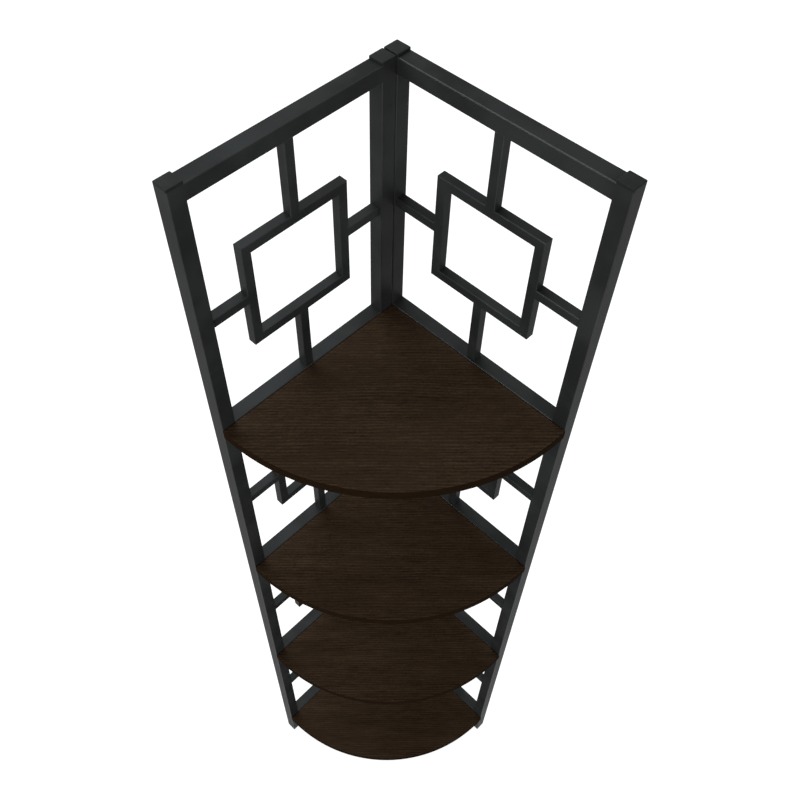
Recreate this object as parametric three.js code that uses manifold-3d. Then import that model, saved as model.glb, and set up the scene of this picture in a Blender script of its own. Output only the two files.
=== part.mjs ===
// A free-standing corner shelf unit: two welded steel side panels that meet at a right angle, with four
// quarter-round wooden shelves between them.
//
// Millimetres, +Z up, the floor at z = 0. The two walls of the room's corner are at the unit's -X side
// and its +Y side, and the open side looks along +X and -Y. The origin is on the floor, in the middle of
// the unit's square outline. "Right" is the panel along the +Y wall, "left" the panel along the -X wall,
// as seen by someone who looks into the corner.

import * as THREE from "three";
import { mergeVertices } from "three/addons/utils/BufferGeometryUtils.js";
import Module from "manifold-3d";

// The whole unit
const HEIGHT = 1548; // floor to the top of the end caps
const SIDE = 309; // the right panel's width, from the corner to its front post's front face
const SHELF_COUNT = 4;
const FLOOR_CLEARANCE = 67.4; // floor to the underside of the lowest rails

// Square tube of the posts and rails
const TUBE = 20; // outer width
const TUBE_WALL = 1.2;
const TUBE_ROUNDING = 1.3; // radius of the outer corners

// Square tube of the lattice in each bay
const BAR = 12.7; // outer width
const BAR_WALL = 1;
const BAR_ROUNDING = 1.1;
const SQUARE = 150; // outer side of each lattice square
const VENT_RADIUS = 2.5; // vent hole in the square's wall, inside each spoke

// Quarter-round shelves
const SHELF_THICKNESS = 15;
const SHELF_TIP = 1.4; // how far a shelf's tips stand past the right panel's front face
const SHELF_PLAY = 0.5; // gap between a shelf's straight edges and the panels
const SHELF_SINK = 0.5; // how far a shelf's top lies below the tops of its rails
const SHELF_EDGE = 0.8; // rounding of the board's edges

// Tabs that are welded to the rails and carry the shelves
const TAB_THICKNESS = 2;
const TAB_WIDTH = 26;
const TAB_REACH = 22; // from the rail's inner face
const TAB_ROUNDING = 6;
const TAB_SHARES = [0.2, 0.7]; // places along each rail, from its rear end

// Screws that hold the shelves to the tabs
const SCREW_RADIUS = 1.75;
const SCREW_HEAD_RADIUS = 3.7;
const SCREW_HEAD_HEIGHT = 2.3;
const SCREW_GRIP = 10.5; // length inside the board
const SCREW_POINT = 2.5; // length of the pointed tip, part of the grip

// End caps in the posts
const CAP_RISE = 3.4; // a top cap's rim, over the post's end
const FOOT_RISE = 3; // a foot cap's rim, under the post's end
const CAP_EDGE = 0.6; // rounding of the rim's outer edge
const PLUG_DEPTH = 14; // how far a cap's plug reaches into the tube
const PLUG_WALL = 1.5;
const PLUG_RIB = 1; // height of the ribs round the plug
const PLUG_RIB_WIDTH = 1.4;
const PLUG_RIB_COUNT = 3;

// Bolts that draw the two rear posts together
const BOLT_RADIUS = 3;
const BOLT_HEAD_LIP = 2; // how far the head reaches past the shank
const BOLT_HEAD_HEIGHT = 3.2;
const BOLT_HEAD_CROWN = 1; // height of the head's rounded edge, part of its height
const BOLT_SOCKET_RADIUS = 2.3; // corner radius of the hexagonal key socket
const BOLT_SOCKET_DEPTH = 1.9;
const BOLT_DROP = 38; // below the underside of a rail
const BOLT_LEVELS = [0, 2, 4]; // 0 is the top rail, 4 the lowest
const BOLT_END = 1.5; // how far a bolt stands out of its nut

// Rivet nuts in the left rear post
const NUT_FLANGE = 1.4; // thickness, and so the seam between the two rear posts
const NUT_FLANGE_LIP = 1.2; // how far the flange reaches past the body
const NUT_WALL = 1.2;
const NUT_LENGTH = 9; // behind the post's wall
const NUT_BULGE = 0.9; // how far the upset collar reaches past the body
const NUT_BULGE_LENGTH = 3;

// Push-in plugs in the access holes on the wall side of the right rear post
const ACCESS_PLAY = 0.7; // the access hole round the bolt's head
const HOLE_PLUG_BEAD = 0.8; // how far the snap bead reaches past the hole
const HOLE_PLUG_BEAD_LENGTH = 1;
const HOLE_PLUG_WALL = 1.2;
const HOLE_PLUG_DEPTH = 3.5;

// Shared fits
const FIT = 0.3; // play round a piece in its hole or tube
const CUT_OVERRUN = 1; // how far a cutting tool runs past the face that it cuts

// Facets: an arc in an outline gets two for each of its steps, a turned piece one
const CORNER_STEPS = 1; // rounded corners of the tubes, bars and caps
const SHELF_ARC_STEPS = 18;
const TAB_STEPS = 2; // rounded corners of the tabs
const VENT_STEPS = 6;
const SCREW_STEPS = 8;
const BOLT_STEPS = 12;
const HEXAGON = 6;

// Worked out from the sizes above
const HALF = (SIDE + SHELF_TIP) / 2;
const LEFT_PANEL_WIDTH = SIDE - TUBE;
const TUBE_INSIDE = TUBE - 2 * TUBE_WALL;
const POST_LENGTH = HEIGHT - CAP_RISE - FOOT_RISE;
const TOP_RAIL_TOP = HEIGHT - CAP_RISE;
const RAIL_PITCH = (TOP_RAIL_TOP - TUBE - FLOOR_CLEARANCE) / SHELF_COUNT;
const BAY_HEIGHT = RAIL_PITCH - TUBE;
const SHELF_RADIUS = SIDE + SHELF_TIP - TUBE;
const TAB_RISE = TUBE - SHELF_SINK - SHELF_THICKNESS - TAB_THICKNESS; // from a rail's underside to its tabs'
const NUT_BORE = BOLT_RADIUS + FIT;
const NUT_BODY = NUT_BORE + NUT_WALL;
const ACCESS_RADIUS = BOLT_RADIUS + BOLT_HEAD_LIP + ACCESS_PLAY;
const LEVELS = Array.from({ length: SHELF_COUNT }, (_, index) => index + 1); // 1 is the highest shelf

const wasm = await Module();
wasm.setup();

// Height of the underside of the rails at a level: 0 is the top rail, then one level per shelf.
function railBottom(level) {
  return TOP_RAIL_TOP - TUBE - level * RAIL_PITCH;
}

// Cuts and joins

// A closed geometry as a solid that can be cut and joined.
function toSolid(geometry) {
  const bare = geometry.clone();
  bare.deleteAttribute("normal");
  bare.deleteAttribute("uv");
  const merged = mergeVertices(bare);
  const vertProperties = new Float32Array(merged.attributes.position.array);
  const triVerts = new Uint32Array(merged.index.array);
  return new wasm.Manifold(new wasm.Mesh({ numProp: 3, vertProperties, triVerts }));
}

// A cut or joined solid as a geometry again.
function toGeometry(solid) {
  const mesh = solid.getMesh();
  const geometry = new THREE.BufferGeometry();
  geometry.setAttribute("position", new THREE.BufferAttribute(mesh.vertProperties, 3));
  geometry.setIndex(new THREE.BufferAttribute(mesh.triVerts, 1));
  return geometry;
}

// The geometry less each of the cutters.
function cut(geometry, cutters) {
  let solid = toSolid(geometry);
  for (const cutter of cutters) {
    solid = solid.subtract(toSolid(cutter));
  }
  return toGeometry(solid);
}

// The geometries as one solid.
function join(geometries) {
  const [first, ...others] = geometries.map(toSolid);
  return toGeometry(others.reduce((sum, solid) => sum.add(solid), first));
}

// Profiles and basic forms

// A square outline about the origin with rounded corners.
function roundedSquare(size, radius) {
  const reach = size / 2;
  const flat = reach - radius;
  const shape = new THREE.Shape();
  shape.moveTo(reach, -flat);
  shape.lineTo(reach, flat);
  shape.absarc(flat, flat, radius, 0, Math.PI / 2);
  shape.lineTo(-flat, reach);
  shape.absarc(-flat, flat, radius, Math.PI / 2, Math.PI);
  shape.lineTo(-reach, -flat);
  shape.absarc(-flat, -flat, radius, Math.PI, 1.5 * Math.PI);
  shape.lineTo(flat, -reach);
  shape.absarc(flat, -flat, radius, 1.5 * Math.PI, 2 * Math.PI);
  return shape;
}

// A square outline about the origin with sharp corners, for the inside of a tube.
function plainSquare(size) {
  const reach = size / 2;
  const corners = [[reach, -reach], [reach, reach], [-reach, reach], [-reach, -reach]];
  return new THREE.Path(corners.map(([x, y]) => new THREE.Vector2(x, y)));
}

// A bar of the given outline along +Z, from one height to another.
function barAlongZ(outline, from, to) {
  const settings = { depth: to - from, bevelEnabled: false, curveSegments: CORNER_STEPS };
  return new THREE.ExtrudeGeometry(outline, settings).translate(0, 0, from);
}

// The outline of the posts' and rails' tube, with rounded corners outside and sharp ones inside.
function tubeSection() {
  const section = roundedSquare(TUBE, TUBE_ROUNDING);
  section.holes.push(plainSquare(TUBE_INSIDE));
  return section;
}

// The outline of a square tube with sharp corners.
function plainTubeSection(size, wall) {
  const section = new THREE.Shape(plainSquare(size).getPoints());
  section.holes.push(plainSquare(size - 2 * wall));
  return section;
}

// An upright length of the posts' and rails' tube, open at both ends, from z = 0.
function squareTube(length) {
  return barAlongZ(tubeSection(), 0, length);
}

// A piece turned about the Z axis from points of [radius, z], going upwards on its outside.
function turned(points, steps) {
  const profile = points.map(([radius, z]) => new THREE.Vector2(radius, z));
  return new THREE.LatheGeometry(profile, steps).rotateX(Math.PI / 2);
}

// A cylinder that cuts a bolt's or nut's hole at a height, from one place to another along Y.
function boltDrill(radius, from, to, z) {
  const drill = new THREE.CylinderGeometry(radius, radius, to - from, BOLT_STEPS);
  return drill.translate(0, (from + to) / 2, z);
}

// A cylinder that cuts a screw's hole, upright, from one height to another.
function screwDrill(x, y, from, to) {
  const radius = SCREW_RADIUS + FIT;
  const drill = new THREE.CylinderGeometry(radius, radius, to - from, SCREW_STEPS);
  return drill.rotateX(Math.PI / 2).translate(x, y, (from + to) / 2);
}

// The side panels

// A square ring about the origin in the XZ plane with the given section, mitred at its corners: a revolve
// in four steps. The section's points are [outwards from the bar's middle line, depth].
function mitredRing(section) {
  const middle = (SQUARE - BAR) / 2;
  const closed = [...section, section[0]];
  const profile = closed.map(({ x, y }) => new THREE.Vector2((middle + x) * Math.SQRT2, y));
  return new THREE.LatheGeometry(profile, 4, Math.PI / 4);
}

// A bay's lattice about the origin in the XZ plane, welded from square tube: a mitred square, and four
// spokes that reach to the rails above and below and to the posts in front and behind. The tubes are
// hollow: each spoke is open at its far end, and a vent hole joins it to the square's inside.
function lattice(bayWidth) {
  const outline = roundedSquare(BAR, BAR_ROUNDING);
  const inside = new THREE.Shape(plainSquare(BAR - 2 * BAR_WALL).getPoints());
  const face = SQUARE / 2;
  const arms = [BAY_HEIGHT, bayWidth, BAY_HEIGHT, bayWidth].map((bay, quarter) => ({
    reach: bay / 2,
    turn: (quarter * Math.PI) / 2,
  }));
  const spokes = arms.map(({ reach, turn }) => barAlongZ(outline, face - BAR_ROUNDING, reach).rotateY(turn));
  const bores = arms.map(({ reach, turn }) => barAlongZ(inside, face, reach + CUT_OVERRUN).rotateY(turn));
  const vents = arms.map(({ turn }) => {
    const vent = new THREE.CylinderGeometry(VENT_RADIUS, VENT_RADIUS, BAR, VENT_STEPS);
    return vent.rotateX(Math.PI / 2).translate(0, 0, face).rotateY(turn);
  });
  const ring = mitredRing(outline.getPoints(CORNER_STEPS));
  const ringInside = mitredRing(inside.getPoints());
  return cut(join([ring, ...spokes]), [ringInside, ...bores, ...vents]);
}

// The right rear post: access holes on its wall side, and bolt holes towards the left panel.
function rightRearPost() {
  const post = squareTube(POST_LENGTH);
  const outer = TUBE / 2;
  const inner = TUBE_INSIDE / 2;
  const drills = BOLT_LEVELS.flatMap((level) => {
    const z = boltHeight(level) - FOOT_RISE;
    return [
      boltDrill(ACCESS_RADIUS, inner - CUT_OVERRUN, outer + CUT_OVERRUN, z),
      boltDrill(NUT_BORE, -outer - CUT_OVERRUN, -inner + CUT_OVERRUN, z),
    ];
  });
  return cut(post, drills);
}

// The left rear post, in its panel's frame: nut holes on its rear side, which is -X there.
function leftRearPost() {
  const post = squareTube(POST_LENGTH);
  const from = -TUBE / 2 - CUT_OVERRUN;
  const to = -TUBE_INSIDE / 2 + CUT_OVERRUN;
  const drills = BOLT_LEVELS.map((level) => {
    const drill = boltDrill(NUT_BODY + FIT, from, to, boltHeight(level) - FOOT_RISE);
    return drill.rotateZ(-Math.PI / 2);
  });
  return cut(post, drills);
}

// A post with no holes.
function frontPost() {
  return squareTube(POST_LENGTH);
}

// A rail along X, from x = 0, with y = 0 in its middle and its underside at z = 0.
function rail(length) {
  return squareTube(length).rotateY(Math.PI / 2).translate(0, 0, TUBE / 2);
}

// A rail with the two tabs that carry a shelf welded on. The tabs reach to the panel's inner side, which is
// towards -Y where inward is -1 and towards +Y where it is 1.
function shelfRail(length, inward) {
  const turn = inward < 0 ? 0 : Math.PI;
  const places = TAB_SHARES.map((share) => share * length);
  const holeY = inward * (TUBE / 2 + TAB_REACH / 2);
  const tabs = places.map((x) => tab().rotateZ(turn).translate(x, 0, TAB_RISE));
  const holeFrom = TAB_RISE - CUT_OVERRUN;
  const holeTo = TAB_RISE + TAB_THICKNESS + CUT_OVERRUN;
  const holes = places.map((x) => screwDrill(x, holeY, holeFrom, holeTo));
  return cut(join([rail(length), ...tabs]), [railInside(length), ...holes]);
}

// The hollow of a rail, longer than the rail.
function railInside(length) {
  const hollow = new THREE.BoxGeometry(length + 2 * CUT_OVERRUN, TUBE_INSIDE, TUBE_INSIDE);
  return hollow.translate(length / 2, 0, TUBE / 2);
}

// Shelves and what carries them

// One tab, flat, from z = 0, reaching along -Y from the middle of its rail and rounded where it ends.
function tab() {
  const half = TAB_WIDTH / 2;
  const flat = half - TAB_ROUNDING;
  const end = -TUBE / 2 - TAB_REACH;
  const turnAt = end + TAB_ROUNDING;
  const shape = new THREE.Shape();
  shape.moveTo(half, 0);
  shape.lineTo(half, turnAt);
  shape.absarc(flat, turnAt, TAB_ROUNDING, 0, -Math.PI / 2, true);
  shape.lineTo(-flat, end);
  shape.absarc(-flat, turnAt, TAB_ROUNDING, -Math.PI / 2, -Math.PI, true);
  shape.lineTo(-half, 0);
  return new THREE.ExtrudeGeometry(shape, {
    depth: TAB_THICKNESS,
    bevelEnabled: false,
    curveSegments: TAB_STEPS,
  });
}

// Where a shelf's four screws go up through its tabs, from the panels' inner corner at x = 0, y = 0.
function screwPlaces() {
  const reach = TAB_REACH / 2;
  const rightLength = SIDE - 2 * TUBE;
  const leftLength = LEFT_PANEL_WIDTH - 2 * TUBE;
  const leftStart = NUT_FLANGE + TUBE;
  const right = TAB_SHARES.map((share) => ({ x: share * rightLength, y: -reach }));
  const left = TAB_SHARES.map((share) => ({ x: reach, y: -leftStart - share * leftLength }));
  return [...right, ...left];
}

// A pan head screw, with the underside of its head at z = 0 and its tip up.
function screw() {
  const tip = TAB_THICKNESS + SCREW_GRIP;
  return turned(
    [
      [0, -SCREW_HEAD_HEIGHT],
      [SCREW_HEAD_RADIUS / 2, -SCREW_HEAD_HEIGHT],
      [SCREW_HEAD_RADIUS, -SCREW_HEAD_HEIGHT / 2],
      [SCREW_HEAD_RADIUS, 0],
      [SCREW_RADIUS, 0],
      [SCREW_RADIUS, tip - SCREW_POINT],
      [0, tip],
    ],
    SCREW_STEPS,
  );
}

// A quarter-round board with its corner at x = 0, y = 0 and its underside at z = 0, drilled for its screws.
function shelf() {
  const reach = SHELF_RADIUS - SHELF_EDGE;
  const start = SHELF_PLAY + SHELF_EDGE;
  const tip = Math.sqrt(reach * reach - start * start);
  const short = Math.asin(start / reach);
  const outline = new THREE.Shape();
  outline.moveTo(start, -start);
  outline.lineTo(start, -tip);
  outline.absarc(0, 0, reach, short - Math.PI / 2, -short);
  const board = new THREE.ExtrudeGeometry(outline, {
    depth: SHELF_THICKNESS - 2 * SHELF_EDGE,
    bevelEnabled: true,
    bevelThickness: SHELF_EDGE,
    bevelSize: SHELF_EDGE,
    bevelSegments: 1,
    curveSegments: SHELF_ARC_STEPS,
  });
  board.translate(0, 0, SHELF_EDGE);
  const pilots = screwPlaces().map(({ x, y }) => screwDrill(x, y, -CUT_OVERRUN, SCREW_GRIP + FIT));
  return cut(board, pilots);
}

// End caps

// A moulded cap for a post's upper end: a rim over the tube's end, and a hollow ribbed plug below z = 0.
function endCap(rise) {
  const section = roundedSquare(TUBE - 2 * CAP_EDGE, TUBE_ROUNDING - CAP_EDGE);
  const rim = new THREE.ExtrudeGeometry(section, {
    depth: rise,
    bevelEnabled: true,
    bevelThickness: CAP_EDGE,
    bevelSize: CAP_EDGE,
    bevelSegments: 1,
    curveSegments: CORNER_STEPS,
  });
  rim.translate(0, 0, -CAP_EDGE);
  const below = new THREE.BoxGeometry(2 * TUBE, 2 * TUBE, TUBE).translate(0, 0, -TUBE / 2);
  const ribReach = TUBE_INSIDE - 2 * FIT;
  const core = ribReach - 2 * PLUG_RIB;
  const plug = barAlongZ(plainTubeSection(core, PLUG_WALL), -PLUG_DEPTH, 0);
  const ribSection = plainTubeSection(ribReach, PLUG_RIB + PLUG_WALL);
  const ribs = Array.from({ length: PLUG_RIB_COUNT }, (_, index) => {
    const middle = (-(index + 0.5) * PLUG_DEPTH) / PLUG_RIB_COUNT;
    return barAlongZ(ribSection, middle - PLUG_RIB_WIDTH / 2, middle + PLUG_RIB_WIDTH / 2);
  });
  return join([cut(rim, [below]), plug, ...ribs]);
}

// The joint between the two rear posts

// Height of the bolt at a level.
function boltHeight(level) {
  return railBottom(level) - BOLT_DROP;
}

// A button head bolt, with the underside of its head at z = 0 and its shank up.
function bolt() {
  const headRadius = BOLT_RADIUS + BOLT_HEAD_LIP;
  const end = TUBE_WALL + NUT_FLANGE + TUBE_WALL + NUT_LENGTH + BOLT_END;
  const body = turned(
    [
      [0, -BOLT_HEAD_HEIGHT],
      [headRadius - BOLT_HEAD_CROWN, -BOLT_HEAD_HEIGHT],
      [headRadius, BOLT_HEAD_CROWN - BOLT_HEAD_HEIGHT],
      [headRadius, 0],
      [BOLT_RADIUS, 0],
      [BOLT_RADIUS, end - BOLT_END / 2],
      [BOLT_RADIUS - BOLT_END / 2, end],
      [0, end],
    ],
    BOLT_STEPS,
  );
  const depth = BOLT_SOCKET_DEPTH + CUT_OVERRUN;
  const socket = new THREE.CylinderGeometry(BOLT_SOCKET_RADIUS, BOLT_SOCKET_RADIUS, depth, HEXAGON);
  socket.rotateX(Math.PI / 2).translate(0, 0, depth / 2 - BOLT_HEAD_HEIGHT - CUT_OVERRUN);
  return cut(body, [socket]);
}

// A rivet nut, with the underside of its flange at z = 0 and its body up, set in a wall of the post's tube.
function rivetNut() {
  const hole = NUT_BODY + FIT;
  const upset = TUBE_WALL + FIT;
  return turned(
    [
      [NUT_BORE, -NUT_FLANGE],
      [hole + NUT_FLANGE_LIP, -NUT_FLANGE],
      [hole + NUT_FLANGE_LIP, 0],
      [NUT_BODY, 0],
      [NUT_BODY, upset],
      [hole + NUT_BULGE, upset],
      [hole + NUT_BULGE, upset + NUT_BULGE_LENGTH / 2],
      [NUT_BODY, upset + NUT_BULGE_LENGTH],
      [NUT_BODY, TUBE_WALL + NUT_LENGTH],
      [NUT_BORE, TUBE_WALL + NUT_LENGTH],
      [NUT_BORE, -NUT_FLANGE],
    ],
    BOLT_STEPS,
  );
}

// A plug that snaps into an access hole, flush with the wall at z = 0 and hollow from inside, its body up.
function holePlug() {
  const radius = ACCESS_RADIUS - FIT;
  const bead = TUBE_WALL + FIT;
  return turned(
    [
      [0, 0],
      [radius, 0],
      [radius, bead],
      [ACCESS_RADIUS + HOLE_PLUG_BEAD, bead + HOLE_PLUG_BEAD_LENGTH / 2],
      [radius, bead + HOLE_PLUG_BEAD_LENGTH],
      [radius, HOLE_PLUG_DEPTH],
      [radius - HOLE_PLUG_WALL, HOLE_PLUG_DEPTH],
      [radius - HOLE_PLUG_WALL, HOLE_PLUG_WALL],
      [0, HOLE_PLUG_WALL],
    ],
    BOLT_STEPS,
  );
}

// Materials

// Black powder coat on the steel.
function powderCoat() {
  return new THREE.MeshStandardMaterial({ color: 0x292a2b, roughness: 0.45, metalness: 0.1 });
}

// Dark brown wood of the shelves.
function darkWood() {
  return new THREE.MeshStandardMaterial({ color: 0x2f251c, roughness: 0.5, metalness: 0 });
}

// Black moulded plastic of the caps and plugs.
function blackPlastic() {
  return new THREE.MeshStandardMaterial({ color: 0x242424, roughness: 0.6, metalness: 0 });
}

// Zinc-plated steel of the fasteners.
function zincSteel() {
  return new THREE.MeshStandardMaterial({ color: 0xa9abad, roughness: 0.35, metalness: 0.9 });
}

// The assembly

// A named piece at a place.
function piece(name, geometry, material, x, y, z) {
  const mesh = new THREE.Mesh(geometry, material);
  mesh.name = name;
  mesh.position.set(x, y, z);
  return mesh;
}

// A welded side panel in its own frame: x from the rear post's rear face to the front, y = 0 in the middle
// of the tubes, z up from the floor. Its inner side is towards -Y where inward is -1, and +Y where it is 1.
function sidePanel(side, width, inward, rearPost) {
  const panel = new THREE.Group();
  const bayWidth = width - 2 * TUBE;
  const rear = TUBE / 2;
  const front = width - TUBE / 2;
  const middle = width / 2;
  panel.add(piece(`${side}_rear_post`, rearPost, powderCoat(), rear, 0, FOOT_RISE));
  panel.add(piece(`${side}_front_post`, frontPost(), powderCoat(), front, 0, FOOT_RISE));
  panel.add(piece(`${side}_top_rail`, rail(bayWidth), powderCoat(), TUBE, 0, railBottom(0)));
  for (const level of LEVELS) {
    const bottom = railBottom(level);
    const bayMiddle = bottom + TUBE + BAY_HEIGHT / 2;
    panel.add(piece(`${side}_rail_${level}`, shelfRail(bayWidth, inward), powderCoat(), TUBE, 0, bottom));
    panel.add(piece(`${side}_lattice_${level}`, lattice(bayWidth), powderCoat(), middle, 0, bayMiddle));
  }
  for (const [place, x] of [["rear", rear], ["front", front]]) {
    const top = endCap(CAP_RISE);
    const foot = endCap(FOOT_RISE).rotateX(Math.PI);
    panel.add(piece(`${side}_${place}_top_cap`, top, blackPlastic(), x, 0, HEIGHT - CAP_RISE));
    panel.add(piece(`${side}_${place}_foot_cap`, foot, blackPlastic(), x, 0, FOOT_RISE));
  }
  return panel;
}

// The four shelves with their screws, in a frame with the panels' inner corner at x = 0, y = 0.
function shelves() {
  const set = new THREE.Group();
  for (const level of LEVELS) {
    const bottom = railBottom(level) + TAB_RISE;
    set.add(piece(`shelf_${level}`, shelf(), darkWood(), 0, 0, bottom + TAB_THICKNESS));
    screwPlaces().forEach(({ x, y }, index) => {
      set.add(piece(`shelf_${level}_screw_${index + 1}`, screw(), zincSteel(), x, y, bottom));
    });
  }
  return set;
}

// The bolts, nuts and plugs of the joint between the rear posts, in a frame with the right rear post's
// middle at x = 0 and its wall side at y = 0. They all point along -Y, towards the left panel.
function cornerJoint() {
  const joint = new THREE.Group();
  const kinds = [
    ["panel_bolt", bolt, zincSteel, TUBE_WALL - TUBE],
    ["panel_nut", rivetNut, zincSteel, -TUBE - NUT_FLANGE],
    ["bolt_hole_plug", holePlug, blackPlastic, 0],
  ];
  BOLT_LEVELS.forEach((level, index) => {
    for (const [name, makePiece, makeMaterial, y] of kinds) {
      const geometry = makePiece().rotateX(Math.PI / 2);
      joint.add(piece(`${name}_${index + 1}`, geometry, makeMaterial(), 0, y, boltHeight(level)));
    }
  });
  return joint;
}

const unit = new THREE.Group();

const rightPanel = sidePanel("right", SIDE, -1, rightRearPost());
rightPanel.position.set(-HALF, HALF - TUBE / 2, 0);

const leftPanel = sidePanel("left", LEFT_PANEL_WIDTH, 1, leftRearPost());
leftPanel.position.set(-HALF + TUBE / 2, HALF - TUBE - NUT_FLANGE, 0);
leftPanel.rotation.z = -Math.PI / 2;

const shelfSet = shelves();
shelfSet.position.set(TUBE - HALF, HALF - TUBE, 0);

const corner = cornerJoint();
corner.position.set(-HALF + TUBE / 2, HALF, 0);

unit.add(rightPanel, leftPanel, shelfSet, corner);

export default unit;
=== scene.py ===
"""Looks of a tall corner shelf unit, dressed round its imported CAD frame.

Two welded side panels of black powder-coated square tube meet at a right angle. Each of their
bays holds an open lattice: a mitred square on four spokes. Four quarter-round boards with a dark
brown wood grain lie between the panels, and moulded caps close the posts. Lengths are in metres,
in the CAD's own frame: +Z is up, the two walls are at the -X and +Y sides, and the open side faces
+X and -Y.
"""

import logging
import math
from collections.abc import Callable, Iterator, Sequence
from dataclasses import dataclass
from enum import Enum

import bmesh
import bpy
from mathutils import Euler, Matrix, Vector


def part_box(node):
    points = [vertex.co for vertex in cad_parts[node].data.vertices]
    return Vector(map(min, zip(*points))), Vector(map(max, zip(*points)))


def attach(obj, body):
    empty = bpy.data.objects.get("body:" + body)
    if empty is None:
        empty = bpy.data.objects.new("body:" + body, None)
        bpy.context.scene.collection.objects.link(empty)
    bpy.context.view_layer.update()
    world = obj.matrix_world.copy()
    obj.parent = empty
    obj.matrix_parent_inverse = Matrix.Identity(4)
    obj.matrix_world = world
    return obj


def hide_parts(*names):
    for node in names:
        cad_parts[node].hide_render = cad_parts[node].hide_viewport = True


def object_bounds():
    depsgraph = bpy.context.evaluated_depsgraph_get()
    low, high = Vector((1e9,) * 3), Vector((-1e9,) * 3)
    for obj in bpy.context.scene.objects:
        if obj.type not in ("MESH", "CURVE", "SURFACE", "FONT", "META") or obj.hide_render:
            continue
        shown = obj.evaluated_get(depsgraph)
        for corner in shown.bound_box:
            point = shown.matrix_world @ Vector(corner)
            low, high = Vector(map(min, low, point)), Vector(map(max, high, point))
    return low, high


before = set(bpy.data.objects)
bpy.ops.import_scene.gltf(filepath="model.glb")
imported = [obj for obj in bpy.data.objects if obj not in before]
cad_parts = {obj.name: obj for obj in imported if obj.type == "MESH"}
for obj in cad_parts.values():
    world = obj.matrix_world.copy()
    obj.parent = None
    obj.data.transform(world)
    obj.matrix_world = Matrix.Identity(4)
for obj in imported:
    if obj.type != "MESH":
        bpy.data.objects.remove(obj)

CAD_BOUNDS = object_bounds()
BODY = "root"
LEVELS = (1, 2, 3, 4)
SCREWS = (1, 2, 3, 4)
BOLTS = (1, 2, 3)
MILLIMETRE = 0.001
QUARTER = math.pi / 2
QUARTER_TURNS = ((1, 0), (0, 1), (-1, 0), (0, -1))
CORNERS = ((1, 1), (-1, 1), (-1, -1), (1, -1))
SMOOTH = {"interpolation_type": "SMOOTHSTEP"}
BLACK = (0.0, 0.0, 0.0)
WHITE = (1.0, 1.0, 1.0)

Colour = tuple[float, float, float]
Pair = tuple[float, float]
Row = list[Vector]
Loop = list[bmesh.types.BMVert]
Placing = Callable[[float, float, float], Vector]

log = logging.getLogger("corner_shelf")


# Shader tools


class Signal:
    """The output of a shader node, as a value that arithmetic can be written with."""

    def __init__(self, tree: "ShaderTree", socket: bpy.types.NodeSocket) -> None:
        """Wrap an output socket of one of the tree's nodes."""
        self.tree = tree
        self.socket = socket

    def _math(self, operation: str, *values: "Signal | float") -> "Signal":
        """Return the value of a Math node with these inputs."""
        inputs = dict(enumerate(values))
        return self.tree.signal("ShaderNodeMath", 0, {"operation": operation}, inputs)

    def __add__(self, other: "Signal | float") -> "Signal":
        """Return the sum."""
        return self._math("ADD", self, other)

    __radd__ = __add__

    def __sub__(self, other: "Signal | float") -> "Signal":
        """Return the difference."""
        return self._math("SUBTRACT", self, other)

    def __rsub__(self, other: float) -> "Signal":
        """Return a number less this value."""
        return self._math("SUBTRACT", other, self)

    def __mul__(self, other: "Signal | float") -> "Signal":
        """Return the product."""
        return self._math("MULTIPLY", self, other)

    __rmul__ = __mul__

    def highest(self, other: "Signal | float") -> "Signal":
        """Return the larger of the two."""
        return self._math("MAXIMUM", self, other)

    def size(self) -> "Signal":
        """Return this value without its sign."""
        return self._math("ABSOLUTE", self)

    def wave(self) -> "Signal":
        """Return a wave from 0 to 1 and back for each whole turn of this value."""
        return self._math("SINE", self * (2 * math.pi)) * 0.5 + 0.5

    def between(
        self, low: float, high: float, out_low: float = 0.0, out_high: float = 1.0
    ) -> "Signal":
        """Map a range of this value to another, smoothly and with its ends held."""
        inputs = {0: self, 1: low, 2: high, 3: out_low, 4: out_high}
        return self.tree.signal("ShaderNodeMapRange", 0, SMOOTH, inputs)

    def spread(self, low: float = 0.0, high: float = 1.0) -> "Signal":
        """Map the range that a noise mostly keeps to, to a range of one's own."""
        return self.between(0.3, 0.7, low, high)


@dataclass(frozen=True)
class Grain:
    """A noise texture: how wide its grains are, and how many finer layers it has and how strong.

    Along a board its grains are stretched, and it has a share in the board's tone.
    """

    width: float
    detail: float = 2.0
    roughness: float = 0.5
    stretch: float = 1.0
    share: float = 1.0


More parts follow.
